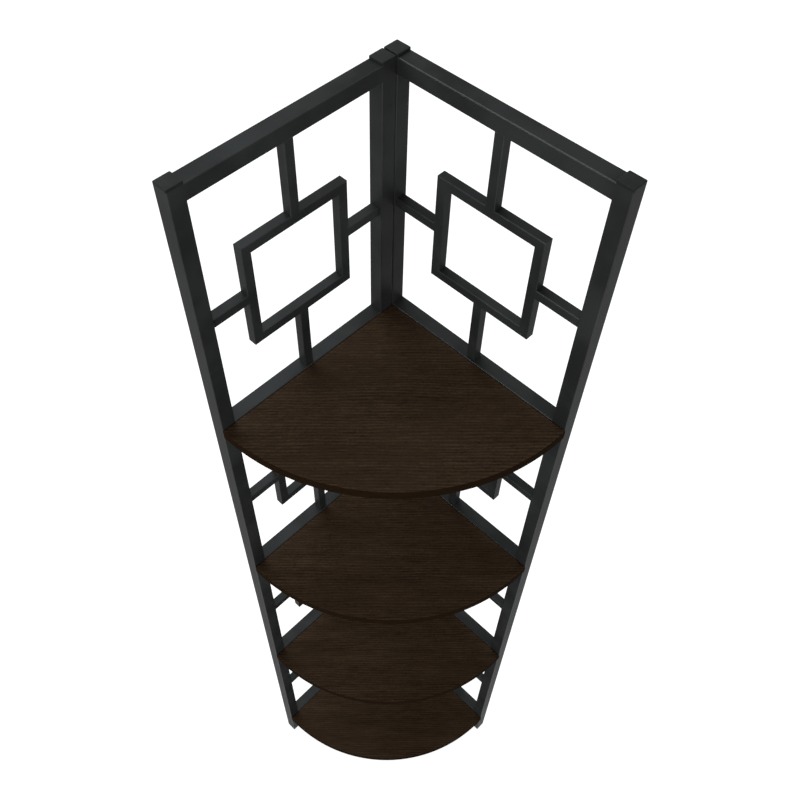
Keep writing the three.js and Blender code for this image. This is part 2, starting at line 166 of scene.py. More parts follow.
class ShaderTree:
    """A node tree that is being written, of a material or of the world."""

    def __init__(self, tree: bpy.types.NodeTree) -> None:
        """Clear a tree's nodes and start on it."""
        self.tree = tree
        tree.nodes.clear()

    def add(
        self,
        kind: str,
        settings: dict[str, object] | None = None,
        inputs: dict[int | str, object] | None = None,
    ) -> bpy.types.Node:
        """Add a node.

        Args:
            kind: The node's type.
            settings: Its own properties, which are set first. A ramp's stops are pairs of a
                position and a colour.
            inputs: Values, colours or signals for its input sockets.

        Returns:
            The node.
        """
        node = self.tree.nodes.new(kind)
        for name, value in (settings or {}).items():
            if name == "stops":
                self._set_stops(node.color_ramp, value)
            else:
                setattr(node, name, value)
        for key, value in (inputs or {}).items():
            socket = node.inputs[key]
            if isinstance(value, Signal):
                self.tree.links.new(value.socket, socket)
            elif socket.type == "RGBA":
                socket.default_value = (*value, 1.0)
            else:
                socket.default_value = value
        return node

    @staticmethod
    def _set_stops(ramp: bpy.types.ColorRamp, stops: Sequence[tuple[float, Colour]]) -> None:
        """Give a ramp its stops.

        Args:
            ramp: The ramp, which starts with two stops.
            stops: Pairs of a position and a colour, from low to high.
        """
        while len(ramp.elements) < len(stops):
            ramp.elements.new(1.0)
        for element, (position, colour) in zip(ramp.elements, stops):
            element.position = position
            element.color = (*colour, 1.0)

    def signal(
        self,
        kind: str,
        output: int | str,
        settings: dict[str, object] | None = None,
        inputs: dict[int | str, object] | None = None,
    ) -> Signal:
        """Add a node and return one of its outputs, by name or number."""
        return Signal(self, self.add(kind, settings, inputs).outputs[output])

    def place(self) -> Signal:
        """Return each point's place in the object's frame, which is the CAD frame."""
        return self.signal("ShaderNodeTexCoord", "Object")

    def facing(self) -> tuple[Signal, ...]:
        """Return how squarely the surface faces along X, Y and Z, from 0 to 1."""
        normal = self.signal("ShaderNodeNewGeometry", "Normal")
        return tuple(part.size() for part in self.split(normal))

    def split(self, vector: Signal) -> tuple[Signal, ...]:
        """Return the three parts of a vector."""
        node = self.add("ShaderNodeSeparateXYZ", inputs={0: vector})
        return tuple(Signal(self, output) for output in node.outputs)

    def join(self, x: Signal, y: Signal, z: Signal) -> Signal:
        """Return a vector of three parts."""
        return self.signal("ShaderNodeCombineXYZ", 0, inputs={0: x, 1: y, 2: z})

    def noise(self, where: Signal, grain: Grain) -> Signal:
        """Add a noise texture.

        Args:
            where: The place to read it at, already stretched.
            grain: Its width and its finer layers.

        Returns:
            The noise, about 0.5.
        """
        inputs = {
            "Vector": where,
            "Scale": 1 / grain.width,
            "Detail": grain.detail,
            "Roughness": grain.roughness,
        }
        return self.signal("ShaderNodeTexNoise", "Fac", inputs=inputs)

    def ramp(self, value: Signal, stops: Sequence[tuple[float, Colour]]) -> Signal:
        """Return a value's colour on a ramp, whose stops are pairs of a position and a colour."""
        return self.signal("ShaderNodeValToRGB", "Color", {"stops": stops}, {"Fac": value})

    def mix(self, amount: Signal, first: Signal | Colour, second: Signal | Colour) -> Signal:
        """Return a mix of two colours, with this amount of the second."""
        inputs = {"Factor": amount, 6: first, 7: second}
        return self.signal("ShaderNodeMix", 2, {"data_type": "RGBA"}, inputs)

    def bump(self, height: Signal, distance: float) -> Signal:
        """Return the normal of a height, whose value of 1 is as deep as the distance."""
        return self.signal("ShaderNodeBump", 0, inputs={"Height": height, "Distance": distance})

    def principled(self, inputs: dict[str, object]) -> Signal:
        """Return a Principled shader with these inputs."""
        return self.signal("ShaderNodeBsdfPrincipled", 0, inputs=inputs)

    def light(self, kind: str, strength: float) -> Signal:
        """Return a white Background or Emission shader of a strength."""
        return self.signal(kind, 0, inputs={"Color": WHITE, "Strength": strength})

    def blend(self, amount: Signal, first: Signal, second: Signal) -> Signal:
        """Return a mix of two shaders, with this amount of the second."""
        return self.signal("ShaderNodeMixShader", 0, inputs={0: amount, 1: first, 2: second})

    def surface(self, shader: Signal, kind: str = "ShaderNodeOutputMaterial") -> None:
        """Send a shader to the output, which is a material's if no other type is given."""
        self.add(kind, inputs={"Surface": shader})


def shade(colour: Colour, factor: float) -> Colour:
    """Return a colour made lighter or darker by a factor."""
    red, green, blue = colour
    return red * factor, green * factor, blue * factor


# Finishes


@dataclass(frozen=True)
class Finish:
    """A finish, which makes its material once and hands it out after that.

    Its name is the material's. Its slot, the record's material slot, is not used.
    """

    name: str
    slot: str

    def material(self) -> bpy.types.Material:
        """Make the finish's material on its first use, and find it after that.

        Returns:
            The material.
        """
        found = bpy.data.materials.get(self.name)
        if found:
            return found
        made = bpy.data.materials.new(self.name)
        made.use_nodes = True
        self.write(ShaderTree(made.node_tree))
        return made

    def write(self, tree: ShaderTree) -> None:
        """Write the finish's nodes into its material's tree."""
        raise NotImplementedError


@dataclass(frozen=True)
class PowderCoat(Finish):
    """Black powder coat on steel: satin, with a fine orange peel, and glossier over the edges.

    Its colour changes slowly, as the cloud does, between two shades that are shares of it, and its
    roughness drifts by uneven either way. The tops of the peel are lightened some way towards the
    lightest shade, a painted highlight on the bumps, and the peel adds to the roughness.
    """

    colour: Colour = (0.0178, 0.0184, 0.0187)
    shades: Pair = (0.8, 1.25)
    roughness: float = 0.41
    uneven: float = 0.03
    cloud: Grain = Grain(60 * MILLIMETRE)
    peel: Grain = Grain(1.4 * MILLIMETRE, detail=3.0, roughness=0.55)
    peel_depth: float = 0.006 * MILLIMETRE
    peel_painted_highlight: float = 0.35
    # Painted highlight: how far the tops of the peel are lightened towards the lightest shade.
    peel_roughness: float = 0.04
    edge_gloss: float = 0.33

    def write(self, tree: ShaderTree) -> None:
        """Write the coat's nodes.

        Args:
            tree: The material's tree.
        """
        place = tree.place()
        peel = tree.noise(place, self.peel)
        cloud = tree.noise(place, self.cloud)
        darkest, lightest = (shade(self.colour, share) for share in self.shades)
        colour = tree.mix(cloud.spread(), darkest, lightest)
        # Painted highlight: the tops of the peel are lightened towards the lightest shade.
        painted_peak_highlight = peel.between(0.62, 0.8, 0.0, self.peel_painted_highlight)
        drift = cloud.spread(self.roughness - self.uneven, self.roughness + self.uneven)
        coat = {
            "Base Color": tree.mix(painted_peak_highlight, colour, lightest),
            "Roughness": drift + peel * self.peel_roughness,
            "Metallic": 0.24,
            "Specular Tint": BLACK,
            "Specular IOR Level": 0.045,
            "Coat Weight": self.edges(tree) * self.edge_gloss,
            "Coat Roughness": 0.25,
            "Normal": tree.bump(peel, self.peel_depth),
        }
        tree.surface(tree.principled(coat))

    @staticmethod
    def edges(tree: ShaderTree) -> Signal:
        """Return 1 on the rounded edges, where the surface faces no axis, and 0 on the flats."""
        x, y, z = tree.facing()
        return x.highest(y).highest(z).between(0.94, 0.99, 1.0, 0.0)


@dataclass(frozen=True)
class DarkWood(Finish):
    """Dark brown wood, with its grain along the line between the two front posts.

    Its tone picks a colour at the stops, where dark ends, middle starts and ends, and light
    starts. The tone is the sum of year rings, streaks between them, broad bands and short flecks,
    whose shares add up to 1. The figure makes them strong in some parts and faint in others, and
    the board's own share changes slowly. The lines wander as fast as wander says along, across and
    through a board, the rings and the streaks by shares of a ring. The pores have a share of the
    dark colour and of the relief. The edge is the darkest colour of the banded edge.
    """

    dark: Colour = (0.0092, 0.0050, 0.0026)
    middle: Colour = (0.0216, 0.0129, 0.0073)
    light: Colour = (0.0380, 0.0242, 0.0146)
    stops: tuple[float, ...] = (0.35, 0.47, 0.52, 0.64)
    edge: Colour = (0.0070, 0.0037, 0.0017)
    ring: float = 4.4 * MILLIMETRE
    ring_share: float = 0.11
    streak: Grain = Grain(2.0 * MILLIMETRE, roughness=0.6, stretch=11.0, share=0.34)
    band: Grain = Grain(14 * MILLIMETRE, stretch=11.0, share=0.17)
    fleck: Grain = Grain(1.1 * MILLIMETRE, roughness=0.6, stretch=3.0, share=0.38)
    board: Grain = Grain(55 * MILLIMETRE, detail=1.0, stretch=1 / 0.3, share=0.16)
    figure: Grain = Grain(80 * MILLIMETRE, detail=1.0, stretch=2.0)
    strength: Pair = (0.95, 1.25)
    wander: tuple[float, ...] = (5.0, 22.0, 9.0)
    ring_wander: float = 3.0
    streak_wander: float = 0.4
    pore_share: float = 0.35
    pore_depth: float = 0.3
    relief: float = 0.12 * MILLIMETRE

    def write(self, tree: ShaderTree) -> None:
        """Write the wood's nodes.

        Args:
            tree: The material's tree.
        """
        tone, streak, fleck = self.tones(tree)
        colours = (self.dark, self.middle, self.middle, self.light)
        face = tree.ramp(tone, tuple(zip(self.stops, colours)))
        pore = fleck.between(0.60, 0.72)
        top = {
            "Base Color": tree.mix(pore * self.pore_share, face, self.dark),
            "Roughness": streak.spread(0.50, 0.64),
            "Specular IOR Level": 0.012,
            "Normal": tree.bump(tone - pore * self.pore_depth, self.relief),
        }
        lightest_edge = shade(self.edge, 1.3)
        banding = {
            "Base Color": tree.mix(streak.between(0.35, 0.65), self.edge, lightest_edge),
            "Roughness": 0.75,
            "Specular IOR Level": 0.004,
        }
        level = tree.facing()[2].between(0.6, 0.9)
        tree.surface(tree.blend(level, tree.principled(banding), tree.principled(top)))

    def tones(self, tree: ShaderTree) -> tuple[Signal, Signal, Signal]:
        """Write the grain.

        Args:
            tree: The material's tree.

        Returns:
            The tone of the whole grain, about 0.5, and the noises of its streaks and flecks.
        """
        x, y, z = tree.split(tree.place())
        along = (x + y) * math.sqrt(0.5)
        across = (x - y) * math.sqrt(0.5)
        place = tree.join(*(part * fast for part, fast in zip((along, across, z), self.wander)))
        wander = tree.noise(place, Grain(1.0)) - 0.5
        bent = across + wander * (self.streak_wander * self.ring)

        def read(grain: Grain, sideways: Signal = across) -> Signal:
            """Return a noise that is stretched along the board."""
            return tree.noise(tree.join(along * (1 / grain.stretch), sideways, z), grain)

        ring = ((across + wander * (self.ring_wander * self.ring)) * (1 / self.ring)).wave()
        streak, band, fleck = read(self.streak, bent), read(self.band, bent), read(self.fleck)
        tone = ring * self.ring_share
        for noise, grain in ((streak, self.streak), (band, self.band), (fleck, self.fleck)):
            tone += noise * grain.share
        tone = (tone - 0.5) * read(self.figure).between(0.38, 0.62, *self.strength)
        return tone + (read(self.board) - 0.5) * self.board.share + 0.5, streak, fleck


@dataclass(frozen=True)
class MouldedPlastic(Finish):
    """Black moulded plastic with a fine spark-eroded texture and lighter scuffs."""

    colour: Colour = (0.0082, 0.0084, 0.0086)
    texture: Grain = Grain(0.35 * MILLIMETRE, roughness=0.6)
    depth: float = 0.015 * MILLIMETRE
    scuff: Grain = Grain(9 * MILLIMETRE, detail=3.0)

    def write(self, tree: ShaderTree) -> None:
        """Write the plastic's nodes.

        Args:
            tree: The material's tree.
        """
        place = tree.place()
        scuff = tree.noise(place, self.scuff)
        scuffed = shade(self.colour, 1.5)
        plastic = {
            "Base Color": tree.mix(scuff.between(0.4, 0.75), self.colour, scuffed),
            "Roughness": scuff.spread(0.50, 0.62),
            "Specular IOR Level": 0.06,
            "Normal": tree.bump(tree.noise(place, self.texture), self.depth),
        }
        tree.surface(tree.principled(plastic))


@dataclass(frozen=True)
class PlatedSteel(Finish):
    """Bright zinc plate on the screws, bolts and nuts, with the fine marks of turning.

    The cast is the colour of its faint passivated patches.
    """

    colour: Colour = (0.56, 0.57, 0.58)
    cast: Colour = (0.50, 0.53, 0.56)
    patch: Grain = Grain(2.5 * MILLIMETRE, detail=3.0)
    turning: Grain = Grain(0.25 * MILLIMETRE)
    turning_depth: float = 0.004 * MILLIMETRE

    def write(self, tree: ShaderTree) -> None:
        """Write the plate's nodes.

        Args:
            tree: The material's tree.
        """
        place = tree.place()
        patches = tree.noise(place, self.patch).between(0.35, 0.65)
        turning = tree.noise(place, self.turning)
        plate = {
            "Base Color": tree.mix(patches, self.colour, self.cast),
            "Metallic": 1.0,
            "Roughness": turning.spread(0.26, 0.40),
            "Normal": tree.bump(turning, self.turning_depth),
        }
        tree.surface(tree.principled(plate))


POWDER_COAT = PowderCoat("black_powder_coat", "powder_coat")
DARK_WOOD = DarkWood("dark_brown_wood", "dark_wood")
PLASTIC = MouldedPlastic("black_moulded_plastic", "black_plastic")
ZINC = PlatedSteel("zinc_plate", "zinc_steel")


# Mesh tools


def box(node: str) -> tuple[Vector, Vector]:
    """Return the lowest and the highest corner of a CAD node's box."""
    low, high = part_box(node)
    return Vector(low), Vector(high)


def arc(first: float, last: float, steps: int) -> list[Pair]:
    """Return the cosine and sine of evenly spaced angles, which are given in quarter turns."""
    angles = ((first + (last - first) * step / steps) * QUARTER for step in range(steps + 1))
    return [(math.cos(angle), math.sin(angle)) for angle in angles]


def circle(x: float, y: float, radius: float, steps: int) -> list[Pair]:
    """Return the points of a circle round a centre, anticlockwise."""
    turn = arc(0, 4, steps)[:-1]
    return [(x + radius * cosine, y + radius * sine) for cosine, sine in turn]


def rounded_square(width: float, rounding: float, steps: int = 5) -> list[Pair]:
    """Return the outline of a square with rounded corners, about the origin.

    Args:
        width: Its width.
        rounding: The radius of its corners.
        steps: How many facets each corner has.

    Returns:
        The outline's points, anticlockwise.
    """
    reach = width / 2 - rounding
    return [
        (side * reach + rounding * cosine, rise * reach + rounding * sine)
        for quarter, (side, rise) in enumerate(CORNERS)
        for cosine, sine in arc(quarter, quarter + 1, steps)
    ]


def round_over(side: float, face: float, across: float, up: float, steps: int) -> list[Pair]:
    """Return the profile of a rounded edge, from the side to the face.

    Args:
        side: The side's radius.
        face: The face's height.
        across: How far the rounding reaches from the side.
        up: How far it rises, or less than 0 where it goes down.
        steps: How many facets it has.

    Returns:
        Pairs of a radius and a height.
    """
    turn = arc(0, 1, steps)
    return [(side - across * (1 - cosine), face - up * (1 - sine)) for cosine, sine in turn]


def prism(outline: Sequence[Pair], ends: Sequence[float], point: Placing) -> list[Row]:
    """Return an outline's points at each end, where point(end, x, y) places one of them."""
    return [[point(end, x, y) for x, y in outline] for end in ends]


def sides(loop: Loop) -> Iterator[tuple[bmesh.types.BMVert, bmesh.types.BMVert]]:
    """Return each vertex of a closed loop with the one after it."""
    return zip(loop, loop[1:] + loop[:1])


class Piece:
    """A mesh piece that is being built, made of closed shells."""

    def __init__(self, name: str, finish: Finish) -> None:
        """Start an empty piece.

        Args:
            name: The piece's name, which is that of the CAD node that it stands for.
            finish: Its finish.
        """
        self.name = name
        self.finish = finish
        self.mesh = bmesh.new()

    def bridge(self, first: Loop, second: Loop) -> None:
        """Join two loops with a band of quads."""
        for (here, after), (over_here, over_after) in zip(sides(first), sides(second)):
            self.mesh.faces.new((here, after, over_after, over_here))

    def skin(self, rows: Sequence[Row]) -> list[Loop]:
        """Add rows of points as loops and join each to the next.

        Args:
            rows: The rows, all with as many points.

        Returns:
            The loops.
        """
        loops = [[self.mesh.verts.new(point) for point in row] for row in rows]
        for first, second in zip(loops, loops[1:]):
            self.bridge(first, second)
        return loops

    def fill(self, *loops: Loop) -> None:
        """Close the flat area between an outer loop and any loops inside it.

        Args:
            loops: The loops, the outer one first.
        """
        if len(loops) == 1:
            self.mesh.faces.new(loops[0])
            return
        edges = [
            self.mesh.edges.get(pair) or self.mesh.edges.new(pair)
            for loop in loops
            for pair in sides(loop)
        ]
        bmesh.ops.triangle_fill(self.mesh, use_beauty=True, use_dissolve=False, edges=edges)

    def loft(self, rows: Sequence[Row], closed: bool = False) -> None:
        """Skin a shell through rows of points.

        Args:
            rows: The rows, all with as many points.
            closed: Whether the last row meets the first. If not, both ends are filled.
        """
        loops = self.skin(rows)
        if closed:
            self.bridge(loops[-1], loops[0])
        else:
            self.fill(loops[0])
            self.fill(loops[-1])

    def tube(self, outer: Sequence[Row], inner: Sequence[Row]) -> None:
        """Skin a tube that is open at both ends.

        Args:
            outer: Rows of its outside, from one end to the other.
            inner: Rows of its inside, the same way.
        """
        outside, inside = self.skin(outer), self.skin(inner)
        self.fill(outside[0], inside[0])
        self.fill(outside[-1], inside[-1])

    def plain(self) -> bpy.types.Object:
        """Make the object and nothing more.

        Returns:
            The object.
        """
        bmesh.ops.recalc_face_normals(self.mesh, faces=self.mesh.faces)
        data = bpy.data.meshes.new(self.name)
        self.mesh.to_mesh(data)
        self.mesh.free()
        data.materials.append(self.finish.material())
        made = bpy.data.objects.new(self.name, data)
        bpy.context.scene.collection.objects.link(made)
        return made

    def done(self, cutters: Sequence[bpy.types.Object] = ()) -> None:
        """Make the object, dress it and set it in the frame, in its CAD node's place.

        Args:
            cutters: Objects that are cut out of it and then deleted.
        """
        made = self.plain()
        if cutters:
            cut_out(made, cutters)
        smooth_rounds(made)
        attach(made, BODY)
        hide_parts(self.name)
        log.info("%s: %d faces", self.name, len(made.data.polygons))


def cut_out(piece: bpy.types.Object, cutters: Sequence[bpy.types.Object]) -> None:
    """Cut objects out of a piece, for good, and delete them.

    Args:
        piece: The piece.
        cutters: The objects.
    """
    for cutter in cutters:
        modifier = piece.modifiers.new("hole", "BOOLEAN")
        modifier.operation = "DIFFERENCE"
        modifier.solver = "EXACT"
        modifier.object = cutter
    graph = bpy.context.evaluated_depsgraph_get()
    result = bpy.data.meshes.new_from_object(piece.evaluated_get(graph))
    piece.modifiers.clear()
    piece.data = result
    for cutter in cutters:
        bpy.data.objects.remove(cutter, do_unlink=True)


def smooth_rounds(piece: bpy.types.Object, sharp: float = math.radians(40)) -> None:
    """Shade rounded corners smoothly and keep flat faces flat.

    Args:
        piece: The piece.
        sharp: The angle from which an edge stays sharp.
    """
    mesh = bmesh.new()
    mesh.from_mesh(piece.data)
    for face in mesh.faces:
        face.smooth = True
    for edge in mesh.edges:
        edge.smooth = edge.is_manifold and edge.calc_face_angle(math.pi) < sharp
    mesh.to_mesh(piece.data)
    mesh.free()
    modifier = piece.modifiers.new("flat faces", "WEIGHTED_NORMAL")
    modifier.keep_sharp = True


def dress(finish: Finish, *nodes: str) -> None:
    """Give CAD nodes a finish.

    Args:
        finish: The finish.
        nodes: The nodes.
    """
    for node in nodes:
        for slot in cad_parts[node].material_slots:
            slot.material = finish.material()
        log.info("%s: CAD solid in %s", node, finish.name)


# The side panels


class Side(Enum):
    """The two side panels, as seen by someone who looks into the corner."""

    RIGHT = "right"
    LEFT = "left"


class Place(Enum):
    """The places of a panel's two posts."""

    REAR = "rear"
    FRONT = "front"


@dataclass
class SidePanel:
    """A welded side panel: two posts, a top rail, and in each bay a lattice over a shelf rail.

    The roundings and the holes are radii. The tube is that of the posts and rails, the bars are
    the lattice's, and the square is the outer side of its squares. The tabs carry the shelves, and
    their shares are their places along each rail from its rear end. The rear posts have access
    holes for the bolts in the right one, and holes for the nuts in the left one.
    """

    side: Side
    tube_rounding: float = 1.3 * MILLIMETRE
    tube_wall: float = 1.2 * MILLIMETRE
    bar_rounding: float = 1.1 * MILLIMETRE
    square: float = 150 * MILLIMETRE
    tab_width: float = 26 * MILLIMETRE
    tab_thickness: float = 2 * MILLIMETRE
    tab_rounding: float = 6 * MILLIMETRE
    tab_hole: float = 2.05 * MILLIMETRE
    tab_shares: Pair = (0.2, 0.7)
    access_radius: float = 5.7 * MILLIMETRE
    nut_radius: float = 4.8 * MILLIMETRE

    def __post_init__(self) -> None:
        """Read the panel's place, width and tube from the frame."""
        low, high = box(self.node("rear_post"))
        self.tube = high.x - low.x
        self.post_ends = (low.z, high.z)
        if self.side is Side.RIGHT:
            self.origin = Vector((low.x, low.y + self.tube / 2, 0))
            self.along, self.inward = Vector((1, 0, 0)), Vector((0, -1, 0))
        else:
            self.origin = Vector((low.x + self.tube / 2, high.y, 0))
            self.along, self.inward = Vector((0, -1, 0)), Vector((1, 0, 0))
        self.width = self.farthest("front_post", self.along)

    def node(self, name: str) -> str:
        """Return the name of one of the panel's nodes."""
        return f"{self.side.value}_{name}"

    def at(self, along: float, inward: float, height: float) -> Vector:
        """Return a point, from the panel's rear edge, its middle plane and the floor."""
        return self.origin + self.along * along + self.inward * inward + Vector((0, 0, height))

    def farthest(self, name: str, way: Vector) -> float:
        """Return how far one of the panel's nodes reaches in a direction."""
        return max((corner - self.origin).dot(way) for corner in box(self.node(name)))

    def build(self) -> None:
        """Build the panel's pieces."""
        self.build_post(Place.REAR, self.tube / 2)
        self.build_post(Place.FRONT, self.width - self.tube / 2)
        self.build_rail("top_rail")
        for level in LEVELS:
            self.build_rail(f"rail_{level}", level)
            self.build_lattice(f"lattice_{level}")

    def add_tube(self, piece: Piece, ends: Pair, point: Placing) -> None:
        """Add a length of the panel's square tube.

        Args:
            piece: The piece that it is part of.
            ends: Where it starts and ends along its own length.
            point: Places a point of its section, so far along that length.
        """
        bore = self.tube - 2 * self.tube_wall
        outer = rounded_square(self.tube, self.tube_rounding)
        inner = rounded_square(bore, self.tube_rounding - self.tube_wall)
        piece.tube(prism(outer, ends, point), prism(inner, ends, point))

    def build_post(self, place: Place, along: float) -> None:
        """Build a post, with its holes if it is the rear one.

        Args:
            place: Which post it is.
            along: How far along the panel it stands.
        """
        piece = Piece(self.node(f"{place.value}_post"), POWDER_COAT)
        self.add_tube(piece, self.post_ends, lambda height, x, y: self.at(along + x, y, height))
        piece.done(self.post_cutters() if place is Place.REAR else ())

    def post_cutters(self) -> list[bpy.types.Object]:
        """Make a round cutter for each hole in the rear post, placed by the CAD's plugs or nuts.

        Returns:
            The cutters.
        """
        cutters = []
        for number in BOLTS:
            if self.side is Side.RIGHT:
                low, high = box(f"bolt_hole_plug_{number}")
                wall, radius = high.y, self.access_radius
            else:
                low, high = box(f"panel_nut_{number}")
                wall, radius = self.origin.y, self.nut_radius
            middle = (low + high) / 2
            outline = circle(middle.x, middle.z, radius, steps=32)
            ends = (wall - 2 * self.tube_wall, wall + 2 * self.tube_wall)
            drill = Piece("drill", POWDER_COAT)
            drill.loft(prism(outline, ends, lambda y, x, z: Vector((x, y, z))))
            cutters.append(drill.plain())
        return cutters

    def build_rail(self, name: str, level: int | None = None) -> None:
        """Build a rail between the posts, whose welds are ground flush with their rounded edges.

        Args:
            name: The node's name, without its side.
            level: The level of the shelf that its tabs carry, if any.
        """
        start, end = self.tube, self.width - self.tube
        middle = box(self.node(name))[0].z + self.tube / 2
        piece = Piece(self.node(name), POWDER_COAT)
        ends = (start - self.tube_rounding, end + self.tube_rounding)
        self.add_tube(piece, ends, lambda along, x, z: self.at(along, x, middle + z))
        if level:
            bottom = box(f"shelf_{level}")[0].z - self.tab_thickness
            reach = self.farthest(name, self.inward)
            for share in self.tab_shares:
                self.add_tab(piece, start + share * (end - start), bottom, reach)
        piece.done()

    def add_tab(self, piece: Piece, along: float, bottom: float, reach: float) -> None:
        """Add a shelf's tab to a rail.

        Args:
            piece: The rail.
            along: The tab's place along the panel.
            bottom: The height of its underside.
            reach: How far it reaches from the panel's middle plane.
        """
        half = self.tab_width / 2
        radius = self.tab_rounding
        start = (self.tube - self.tube_wall) / 2
        outline = [(-half, start)]
        for centre, first in ((radius - half, 2), (half - radius, 1)):
            for cosine, sine in arc(first, first - 1, steps=6):
                outline.append((centre + radius * cosine, reach - radius + radius * sine))
        outline.append((half, start))
        hole = circle(0, (self.tube / 2 + reach) / 2, self.tab_hole, steps=20)
        heights = (bottom, bottom + self.tab_thickness)
        outer, inner = (
            prism(points, heights, lambda height, x, y: self.at(along + x, y, height))
            for points in (outline, hole)
        )
        piece.tube(outer, inner)

    def build_lattice(self, name: str) -> None:
        """Build a bay's lattice: a mitred square on four spokes.

        Args:
            name: The node's name, without its side.
        """
        low, high = box(self.node(name))
        size, centre = high - low, (low + high) / 2
        middle = (centre - self.origin).dot(self.along)
        bar = min(size.x, size.y)
        section = rounded_square(bar, self.bar_rounding)
        ring = (self.square - bar) / 2
        piece = Piece(self.node(name), POWDER_COAT)
        rows = [
            [
                self.at(middle + side * (ring + out), depth, centre.z + rise * (ring + out))
                for out, depth in section
            ]
            for side, rise in CORNERS
        ]
        piece.loft(rows, closed=True)
        for up, side in QUARTER_TURNS:
            end = size.z / 2 if up else max(size.x, size.y) / 2
            rows = [
                [
                    self.at(middle + side * out + up * x, depth, centre.z + up * out + side * x)
                    for x, depth in section
                ]
                for out in (self.square / 2 - self.bar_rounding, end)
            ]
            piece.loft(rows)
        piece.done()


# Shelves


@dataclass
class Shelf:
    """A quarter-round board with softly rounded edges.

    Level 1 is the highest. The steps are the facets of its round front and of a rounded edge.
    """

    level: int
    edge: float = 0.9 * MILLIMETRE
    arc_steps: int = 96
    edge_steps: int = 4

    def build(self) -> None:
        """Build the board."""
        node = f"shelf_{self.level}"
        low, high = box(node)
        rows = []
        for first, level in ((-1, low.z + self.edge), (0, high.z - self.edge)):
            for cosine, sine in arc(first, first + 1, self.edge_steps):
                inset = self.edge * (1 - cosine)
                rows.append(self.row(low, high, inset, level + self.edge * sine))
        piece = Piece(node, DARK_WOOD)
        piece.loft(rows)
        piece.done()

    def row(self, low: Vector, high: Vector, inset: float, height: float) -> Row:
        """Return the board's outline at a height, set in by an amount.

        Args:
            low: The lowest corner of its box.
            high: The highest corner of its box.
            inset: How far the outline is set in.
            height: The height.

        Returns:
            The outline's points.
        """
        corner = Vector((low.x, high.y, height))
        radius = high.x - low.x - inset
        short = math.asin(inset / radius) / QUARTER
        front = arc(short - 1, -short, self.arc_steps)
        points = [corner + Vector((inset, -inset, 0))]
        points += [corner + Vector((radius * cosine, radius * sine, 0)) for cosine, sine in front]
        return points


# Caps and fasteners


class End(Enum):
    """The two ends of a post, by the names of their caps."""

    TOP = "top_cap"
    FOOT = "foot_cap"


@dataclass
class EndCap:
    """A moulded cap in the end of a post, which is given by its side and place.

    Its corners are rounded like the tube's, and its plug has play inside the tube's wall. The
    crown is how much a top cap's face swells in its middle.
    """

    post: str
    end: End
    rounding: float = SidePanel.tube_rounding
    wall: float = SidePanel.tube_wall
    play: float = 0.3 * MILLIMETRE
    plug_rounding: float = 0.6 * MILLIMETRE
    rim_edge: float = 0.9 * MILLIMETRE
    crown: float = 0.25 * MILLIMETRE

    def build(self) -> None:
        """Build the cap: a rounded rim over the tube's end, and a plug inside it."""
        node = f"{self.post}_{self.end.value}"
        low, high = box(node)
        post_low, post_high = box(f"{self.post}_post")
        if self.end is End.TOP:
            seat, inside, outside = post_high.z, low.z, high.z
            face, rise = outside - self.crown, self.rim_edge
        else:
            seat, inside, outside = post_low.z, high.z, low.z
            face, rise = outside, -self.rim_edge
        half = (high.x - low.x) / 2
        plug = half - self.wall - self.play
        rim = round_over(half, face, self.rim_edge, rise, steps=5)
        rows = [
            (plug, self.plug_rounding, inside),
            (plug, self.plug_rounding, seat),
            (half, self.rounding, seat),
            *((reach, self.rounding, height) for reach, height in rim),
            (half / 2, self.rounding, outside),
        ]
        piece = Piece(node, PLASTIC)
        piece.loft([self.row((low + high) / 2, *row) for row in rows])
        piece.done()

    @staticmethod
    def row(centre: Vector, half: float, rounding: float, height: float) -> Row:
        """Return a rounded square's points at a height."""
        outline = rounded_square(2 * half, rounding)
        return [Vector((centre.x + x, centre.y + y, height)) for x, y in outline]


